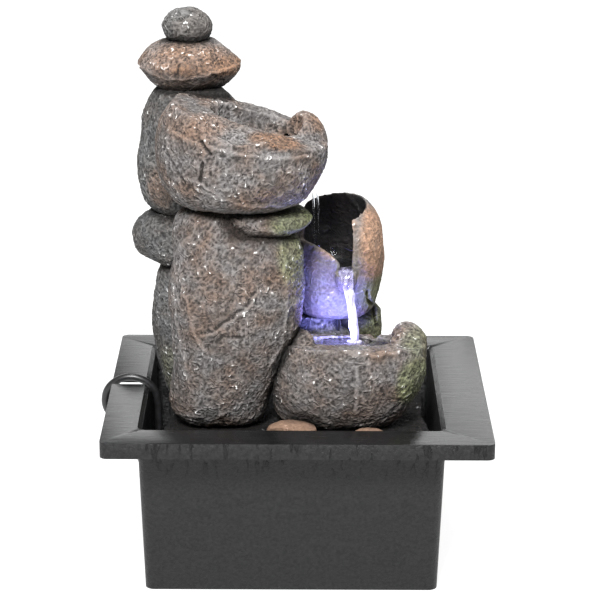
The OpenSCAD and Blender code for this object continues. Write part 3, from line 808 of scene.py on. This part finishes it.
def pool(name, middle, half, level):
    """A shallow body of water with a gently rippled top."""
    bm = bmesh.new()
    bmesh.ops.create_circle(bm, cap_ends=True, segments=48, radius=1)
    for v in bm.verts:
        v.co = Vector((middle[0] + half[0] * v.co.x, middle[1] + half[1] * v.co.y, level)) * MM
    face = bm.faces[:]
    for _ in range(9):
        bmesh.ops.inset_region(bm, faces=face, thickness=min(half) * MM / 11, use_even_offset=False)
    bottom = bmesh.ops.extrude_face_region(bm, geom=bm.faces[:], use_keep_orig=True)
    for v in bottom["geom"]:
        if isinstance(v, bmesh.types.BMVert):
            v.co.z -= 3 * MM
            v.co.x += (middle[0] * MM - v.co.x) * 0.2
            v.co.y += (middle[1] * MM - v.co.y) * 0.2
    water = new_object(name, mesh_from(bm, name))
    points = coordinates(water.data)
    top = points[:, 2] > (level - 0.5) * MM
    ripple = lattice_noise(points, 9, 71) * 0.35 + lattice_noise(points, 4.5, 72) * 0.12
    points[:, 2] += np.where(top, ripple * MM, 0)
    set_coordinates(water.data, points)
    return finished(water, "rockery", finish_named("water"))


def strand(name, line, radii, sides, finish, wave=0.0, seed=0):
    """A strand of water along a line of millimetre points, with two radii at each: across and through."""
    bm = bmesh.new()
    ring = bmesh.ops.create_circle(bm, cap_ends=True, segments=sides, radius=1)["verts"]
    unit = [v.co.copy() for v in ring]
    centres = np.array(line, float)
    along = np.gradient(centres, axis=0)
    for i in range(len(line)):
        if i:
            border = list({e for v in ring for e in v.link_edges if e.other_vert(v) in ring})
            made = bmesh.ops.extrude_edge_only(bm, edges=border)
            order = {}
            for new in (g for g in made["geom"] if isinstance(g, bmesh.types.BMVert)):
                old = next(e.other_vert(new) for e in new.link_edges if e.other_vert(new) in ring)
                order[old] = new
            ring = [order[v] for v in ring]
        ahead = Vector(along[i]).normalized()
        side = Vector((1, 0, 0))
        side = (side - ahead * side.dot(ahead)).normalized()
        through = ahead.cross(side)
        for v, u in zip(ring, unit):
            v.co = (Vector(centres[i]) + side * u.x * radii[i][0] + through * u.y * radii[i][1]) * MM
    bmesh.ops.contextual_create(bm, geom=ring)
    water = new_object(name, mesh_from(bm, name))
    if wave:
        points, out = coordinates(water.data), normals(water.data)
        stretched = points * (1, 1, 0.25)
        points += out * (lattice_noise(stretched, 1.6, seed) * wave * MM)[:, None]
        set_coordinates(water.data, points)
    return finished(water, "rockery", finish_named(finish))


def falling(start, end, count, sag=0.5):
    """A line of points that leaves start nearly level and drops to end."""
    t = np.linspace(0, 1, count)[:, None]
    a, b = np.array(start, float), np.array(end, float)
    line = a + (b - a) * t
    line[:, :2] = a[:2] + (b - a)[:2] * (t**sag)
    return line


class FOUNTAIN_OT_water(bpy.types.Operator):
    """Fills the bowls and runs the water from each to the next"""

    bl_idname = "fountain.water"
    bl_label = "Running water"

    def execute(self, context):
        for name, (middle, half, level) in POOLS.items():
            pool(name, middle, half, level)
        sheet = [(-10, -12, 235.8), (-5, -4, 235), (0, 6, 233.8), (4, 14, 232.6), (6.6, 20, 231.4),
                 (7.4, 22.5, 229)]
        strand("upper_overflow", sheet, [(3.4, 0.9)] * 5 + [(2.6, 0.8)], 16, "water", 0.2, 81)
        thin_strands = (((6.4, 22.8, 231), (9.6, 23.4, 159), 0.75), ((8.6, 22.6, 231), (12, 22.8, 159), 0.6))
        for k, (top, foot, wide) in enumerate(thin_strands):
            widths = [(wide * (1.1 - 0.4 * t), wide * 0.7) for t in np.linspace(0, 1, 40)]
            strand(f"upper_strand_{k}", falling(top, foot, 40, 0.8), widths, 10, "water", 0.22, 82 + k)
        sheet = [(25.5, 6, 159.8), (25.8, -1, 160.0), (26, -5, 159.5), (26.3, -8, 157.6), (26.9, -9.8, 154.4),
                 (27.3, -10.6, 152.4)]
        sizes = [(4.4, 0.8), (4.2, 0.8), (4.0, 0.9), (3.6, 1.0), (3.0, 1.1), (2.6, 1.1)]
        strand("middle_overflow", sheet, sizes, 16, "lip_water", 0.25, 91)
        line = falling((27.2, -10.4, 153.2), (31.2, -13.6, 124.3), 40, 0.75)
        widths = [(2.5 - 0.2 * t, 1.0) for t in np.linspace(0, 1, 40)]
        strand("middle_fall", line, widths, 16, "white_water", 0.45, 92)
        foam = [(31.2, -13.6, 124.0), (31.3, -13.7, 124.7), (31.3, -13.7, 125.1)]
        strand("splash", foam, [(4.6, 3.2), (3.3, 2.3), (2.0, 1.3)], 24, "white_water", 0.9, 93)
        look = context.scene.fountain_water
        lamps = (("lower_lamp_light", (19, -24, 128), 1.15), ("middle_lamp_light", (22, 12, 161.5), 0.01))
        for name, at, share in lamps:
            light = bpy.data.lights.new(name, "SPOT")
            light.energy, light.color = look.power * share, look.lamp_colour
            light.shadow_soft_size = 3 * MM
            light.spot_size, light.spot_blend = math.radians(165), 0.6
            lamp = bpy.data.objects.new(name, light)
            lamp.location = Vector(at) * MM
            lamp.rotation_euler = Vector((0, 0.7, 1)).to_track_quat("-Z", "Y").to_euler()
            bpy.context.scene.collection.objects.link(lamp)
            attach(lamp, "rockery")
        return {"FINISHED"}


# ---- Finishes ----


def grey_stone():
    """Grey cast resin, dry-brushed pale on its crests, with dark hollows."""
    return cast_stone("grey_stone_cast_resin", "#191919", "#676767", "#64605d", "#e4e4e3")


def brown_stone():
    """Cast resin with a warmer brown wash between pale crests."""
    return cast_stone("brown_stone_cast_resin", "#1f1d1c", "#757271", "#6f6057", "#f4f3f1")


def ochre_stone():
    """Cast resin washed with ochre."""
    return cast_stone("ochre_stone_cast_resin", "#1f1c1a", "#6f6d6c", "#6e655f", "#c9c3bc", 0.6,
                      ochre_tones=("#5f4a3b", "#b8937a"))


def ground_stone():
    """The dark grey ground that the stones stand on, set darker overall as painted shade round the stones'
    feet.
    """
    # Painted shade: these colours are darker than the ground's own grey, to stand for the shade round the
    # stones
    return cast_stone("ground_cast_resin", "#040404", "#1c1b1b", "#242221", "#908f91")


def tan_pebble():
    """Smooth tan resin pebbles."""
    return cast_stone("tan_pebble_cast_resin", "#33251d", "#6c574a", "#786151", "#8e7666", 0.5)


def streaked_pp():
    """Moulded black polypropylene: wavy slate-like streaks give the rim's top a satin sheen, and the walls
    have a leathery grain with a few chisel scars near the top."""
    made, tree = new_material("streaked_polypropylene")
    coords = node(tree, "ShaderNodeTexCoord")
    facing = node(tree, "ShaderNodeSeparateXYZ", {"Vector": coords.outputs["Normal"]})
    height = node(tree, "ShaderNodeSeparateXYZ", {"Vector": coords.outputs["Object"]})
    top = ramp(tree, facing.outputs["Z"], [(0.5, BLACK), (0.9, WHITE)])
    streaks = speckle(tree, place(tree, (0.14, 1, 1)), 1.5, 5, 0.62)
    broad = speckle(tree, place(tree, (0.25, 1, 1)), 6, 3, 0.5)
    leather = speckle(tree, place(tree), 1.7, 4, 0.62)
    mottle = speckle(tree, place(tree), 11, 4, 0.6)
    scars = speckle(tree, place(tree, (1, 1, 0.22), (0, 0.5, 0)), 4.2, 4, 0.6)
    scar = ramp(tree, scars, [(0.57, BLACK), (0.62, WHITE)])
    high = ramp(tree, calc(tree, "MULTIPLY", height.outputs["Z"], 10.0), [(0.62, BLACK), (0.8, WHITE)])
    side = calc(tree, "SUBTRACT", 1.0, top)
    scar = calc(tree, "MULTIPLY", calc(tree, "MULTIPLY", scar, high), side)
    tone = mix(tree, top, ramp(tree, leather, [(0.36, linear("#020202")), (0.66, linear("#1e1e1f"))]),
               ramp(tree, streaks, [(0.35, linear("#070708")), (0.68, linear("#131415"))]))
    tone = mix(tree, calc(tree, "MULTIPLY", mottle, 0.2), tone, linear("#1c1c1d"))
    tone = mix(tree, scar, tone, linear("#020202"))
    relief = bump(tree, calc(tree, "MULTIPLY", broad, top), 0.2, 0.5)
    relief = bump(tree, calc(tree, "MULTIPLY", streaks, top), 0.16, 0.8, relief)
    relief = bump(tree, calc(tree, "MULTIPLY", leather, side), 0.8, 1.0, relief)
    relief = bump(tree, scar, 0.9, 1.0, relief)
    rough = calc(tree, "ADD", calc(tree, "MULTIPLY", mix(tree, top, leather, streaks), 0.2),
                 calc(tree, "SUBTRACT", 0.34, calc(tree, "MULTIPLY", top, 0.2)))
    surface(tree, {"Base Color": tone, "Roughness": rough, "Normal": relief, "IOR": 1.42})
    return made


def moulded_abs():
    """Spark-eroded black ABS: a fine even grain and a low sheen."""
    made, tree = new_material("moulded_abs")
    grain = speckle(tree, place(tree), 0.5, 2, 0.6)
    tone = ramp(tree, grain, [(0.3, linear("#161617")), (0.7, linear("#232325"))])
    surface(tree, {"Base Color": tone, "Roughness": calc(tree, "MULTIPLY_ADD", grain, 0.2),
                   "Normal": bump(tree, grain, 0.06, 0.5), "IOR": 1.54})
    return made


def pvc_sheath():
    """Extruded black PVC: smooth, with faint lengthwise variation."""
    made, tree = new_material("extruded_pvc")
    grain = speckle(tree, place(tree), 2.2, 3, 0.5)
    tone = ramp(tree, grain, [(0.3, linear("#121213")), (0.75, linear("#1e1e20"))])
    rough = calc(tree, "ADD", calc(tree, "MULTIPLY", grain, 0.15), 0.3)
    surface(tree, {"Base Color": tone, "Roughness": rough, "Normal": bump(tree, grain, 0.05, 0.4),
                   "IOR": 1.53})
    return made


def pvc_plug():
    """Moulded black PVC with a matt grain."""
    made, tree = new_material("moulded_pvc")
    grain = speckle(tree, place(tree), 0.6, 2, 0.5)
    tone = ramp(tree, grain, [(0.3, linear("#131314")), (0.75, linear("#212123"))])
    rough = calc(tree, "ADD", calc(tree, "MULTIPLY", grain, 0.2), 0.4)
    surface(tree, {"Base Color": tone, "Roughness": rough, "Normal": bump(tree, grain, 0.08, 0.5),
                   "IOR": 1.53})
    return made


def clear_vinyl():
    """Clear vinyl tube, a little milky."""
    made, tree = new_material("clear_vinyl")
    haze = speckle(tree, place(tree), 6, 3, 0.5)
    tone = ramp(tree, haze, [(0.3, linear("#dfe6e4")), (0.7, linear("#f2f5f4"))])
    rough = calc(tree, "ADD", calc(tree, "MULTIPLY", haze, 0.15), 0.08)
    surface(tree, {"Base Color": tone, "Roughness": rough, "Transmission Weight": 0.85, "IOR": 1.45})
    return made


def ground_steel():
    """Ground stainless shaft: fine rings round its axis."""
    made, tree = new_material("ground_stainless")
    rings = speckle(tree, place(tree, (1, 12, 1)), 2, 2, 0.5)
    tone = ramp(tree, rings, [(0.3, linear("#a9adb0")), (0.7, linear("#c9cccf"))])
    rough = calc(tree, "ADD", calc(tree, "MULTIPLY", rings, 0.15), 0.15)
    surface(tree, {"Base Color": tone, "Metallic": 1.0, "Roughness": rough})
    return made


def nickel_plate():
    """Nickel-plated brass pins with light wiping scratches along them."""
    made, tree = new_material("nickel_plate")
    wiped = speckle(tree, place(tree, (0.15, 1, 1)), 0.8, 2, 0.5)
    tone = ramp(tree, wiped, [(0.3, linear("#b3b0a8")), (0.7, linear("#d5d2ca"))])
    rough = calc(tree, "ADD", calc(tree, "MULTIPLY", wiped, 0.2), 0.12)
    surface(tree, {"Base Color": tone, "Metallic": 1.0, "Roughness": rough})
    return made


def ferrite():
    """Sintered ferrite: dark grey, faintly grainy."""
    made, tree = new_material("sintered_ferrite")
    grain = speckle(tree, place(tree), 0.6, 3, 0.6)
    tone = ramp(tree, grain, [(0.3, linear("#232426")), (0.7, linear("#3a3c3f"))])
    surface(tree, {"Base Color": tone, "Roughness": calc(tree, "MULTIPLY_ADD", grain, 0.3),
                   "Normal": bump(tree, grain, 0.08, 0.6), "IOR": 1.6})
    return made


def foam():
    """Open-cell polyether foam: dark pores about a millimetre across."""
    made, tree = new_material("open_cell_foam")
    cells = node(tree, "ShaderNodeTexVoronoi", {"Vector": place(tree)}, feature="F1")
    cells.inputs["Scale"].default_value = 1 / (1.1 * MM)
    tone = ramp(tree, cells.outputs["Distance"], [(0.15, linear("#0b0b0c")), (0.6, linear("#2d2d30"))])
    pores = bump(tree, cells.outputs["Distance"], 0.6, 1.0)
    surface(tree, {"Base Color": tone, "Roughness": 0.95, "Normal": pores})
    return made


def soft_rubber():
    """Grey translucent rubber cups."""
    made, tree = new_material("soft_rubber")
    grain = speckle(tree, place(tree), 3, 3, 0.5)
    tone = ramp(tree, grain, [(0.3, linear("#3f4043")), (0.7, linear("#55565a"))])
    rough = calc(tree, "ADD", calc(tree, "MULTIPLY", grain, 0.2), 0.4)
    surface(tree, {"Base Color": tone, "Roughness": rough, "Subsurface Weight": 0.1, "IOR": 1.5})
    return made


def lamp_glow():
    """The clear dome of a lit lamp: bright violet, a little uneven."""
    made, tree = new_material("lit_polycarbonate")
    glow = speckle(tree, place(tree), 2.5, 2, 0.5)
    tone = ramp(tree, glow, [(0.3, linear("#8f7cff")), (0.7, linear("#c7bcff"))])
    surface(tree, {"Base Color": tone, "Roughness": 0.2, "Emission Color": tone, "Emission Strength": 6.0,
                   "IOR": 1.58})
    return made


def lip_water():
    """A thin sheet of clear water over the lip, with painted violet lamp light in its colour."""
    made, tree = new_material("sheet_water")
    swirl = speckle(tree, place(tree, (1, 0.3, 0.3)), 2.2, 3, 0.55)
    # Painted light: the violet stops stand for the lamp's light on the water
    tone = ramp(tree, swirl, [(0.35, linear("#8d86b8")), (0.62, linear("#e9e6ff"))])
    surface(tree, {"Base Color": tone, "Roughness": 0.06, "Transmission Weight": 0.75, "IOR": 1.33,
                   "Normal": bump(tree, swirl, 0.3, 0.7)})
    return made


def water():
    """Clear moving water: mirror-like at a glance and dark where it is deep."""
    made, tree = new_material("clear_water")
    swirl = speckle(tree, place(tree), 5, 3, 0.55)
    tone = ramp(tree, swirl, [(0.3, linear("#eef3fa")), (0.7, linear("#ffffff"))])
    surface(tree, {"Base Color": tone, "Roughness": 0.02, "Transmission Weight": 1.0, "IOR": 1.33,
                   "Normal": bump(tree, swirl, 0.25, 0.5)})
    return made


def white_water():
    """Fast aerated water: white streaks along its fall, with painted violet lamp light in its colour."""
    made, tree = new_material("aerated_water")
    streaks = speckle(tree, place(tree, (1, 1, 0.07)), 1.3, 3, 0.6)
    # Painted light: the violet low stop stands for the lamp's light; the pale streaks are the aerated water's
    # white
    tone = ramp(tree, streaks, [(0.38, linear("#8f8ab8")), (0.58, linear("#f4f2ff"))])
    surface(tree, {"Base Color": tone, "Roughness": 0.15, "Transmission Weight": 0.4, "IOR": 1.33,
                   "Normal": bump(tree, streaks, 0.4, 0.7)})
    return made


FINISHES = {
    made.__name__: made
    for made in (
        grey_stone, brown_stone, ochre_stone, ground_stone, tan_pebble, streaked_pp, moulded_abs, pvc_sheath,
        pvc_plug, clear_vinyl, ground_steel, nickel_plate, ferrite, foam, soft_rubber, lamp_glow, lip_water,
        water, white_water,
    )
}
made_finishes = {}


def finish_named(name):
    """The finish of this name, made the first time that it is asked for."""
    if name not in made_finishes:
        made_finishes[name] = FINISHES[name]()
    return made_finishes[name]


# ---- Settings and panel ----


class FountainStone(bpy.types.PropertyGroup):
    """How the stones are carved"""

    grain: bpy.props.FloatProperty(
        name="Grain", description="Spacing of the carved surface", default=0.75 * MM, subtype="DISTANCE",
        unit="LENGTH")


class FountainBasin(bpy.types.PropertyGroup):
    """How the basin is moulded"""

    edge: bpy.props.FloatProperty(
        name="Edge", description="Rounding of the moulded edges", default=0.6 * MM, subtype="DISTANCE",
        unit="LENGTH")


class FountainWater(bpy.types.PropertyGroup):
    """The water's light"""

    lamp_colour: bpy.props.FloatVectorProperty(
        name="Lamp colour", description="Colour of the lamps", default=linear("#8d8fff")[:3], size=3,
        subtype="COLOR")
    power: bpy.props.FloatProperty(
        name="Lamp power", description="Radiant power of a lamp", default=0.34, unit="POWER")


class FOUNTAIN_PT_panel(bpy.types.Panel):
    """Lists the pieces of the fountain"""

    bl_idname = "FOUNTAIN_PT_panel"
    bl_label = "Tabletop fountain"
    bl_space_type = "VIEW_3D"
    bl_region_type = "UI"
    bl_category = "Fountain"

    def draw(self, context):
        scene = context.scene
        for group, name in ((scene.fountain_stone, "grain"), (scene.fountain_basin, "edge"),
                            (scene.fountain_water, "lamp_colour"), (scene.fountain_water, "power")):
            self.layout.prop(group, name)
        for operator in OPERATORS:
            self.layout.operator(operator.bl_idname)


OPERATORS = (
    FOUNTAIN_OT_stage, FOUNTAIN_OT_lead, FOUNTAIN_OT_basin, FOUNTAIN_OT_stones, FOUNTAIN_OT_water,
    FOUNTAIN_OT_hardware,
)
GROUPS = {"fountain_stone": FountainStone, "fountain_basin": FountainBasin, "fountain_water": FountainWater}


def register():
    for group in GROUPS.values():
        bpy.utils.register_class(group)
    for name, group in GROUPS.items():
        setattr(bpy.types.Scene, name, bpy.props.PointerProperty(type=group))
    for operator in OPERATORS:
        bpy.utils.register_class(operator)
    bpy.utils.register_class(FOUNTAIN_PT_panel)


def unregister():
    bpy.utils.unregister_class(FOUNTAIN_PT_panel)
    for operator in reversed(OPERATORS):
        bpy.utils.unregister_class(operator)
    for name, group in GROUPS.items():
        delattr(bpy.types.Scene, name)
        bpy.utils.unregister_class(group)


def main():
    register()
    for operator in OPERATORS:
        group, name = operator.bl_idname.split(".")
        getattr(getattr(bpy.ops, group), name)()


if __name__ == "__main__":
    main()
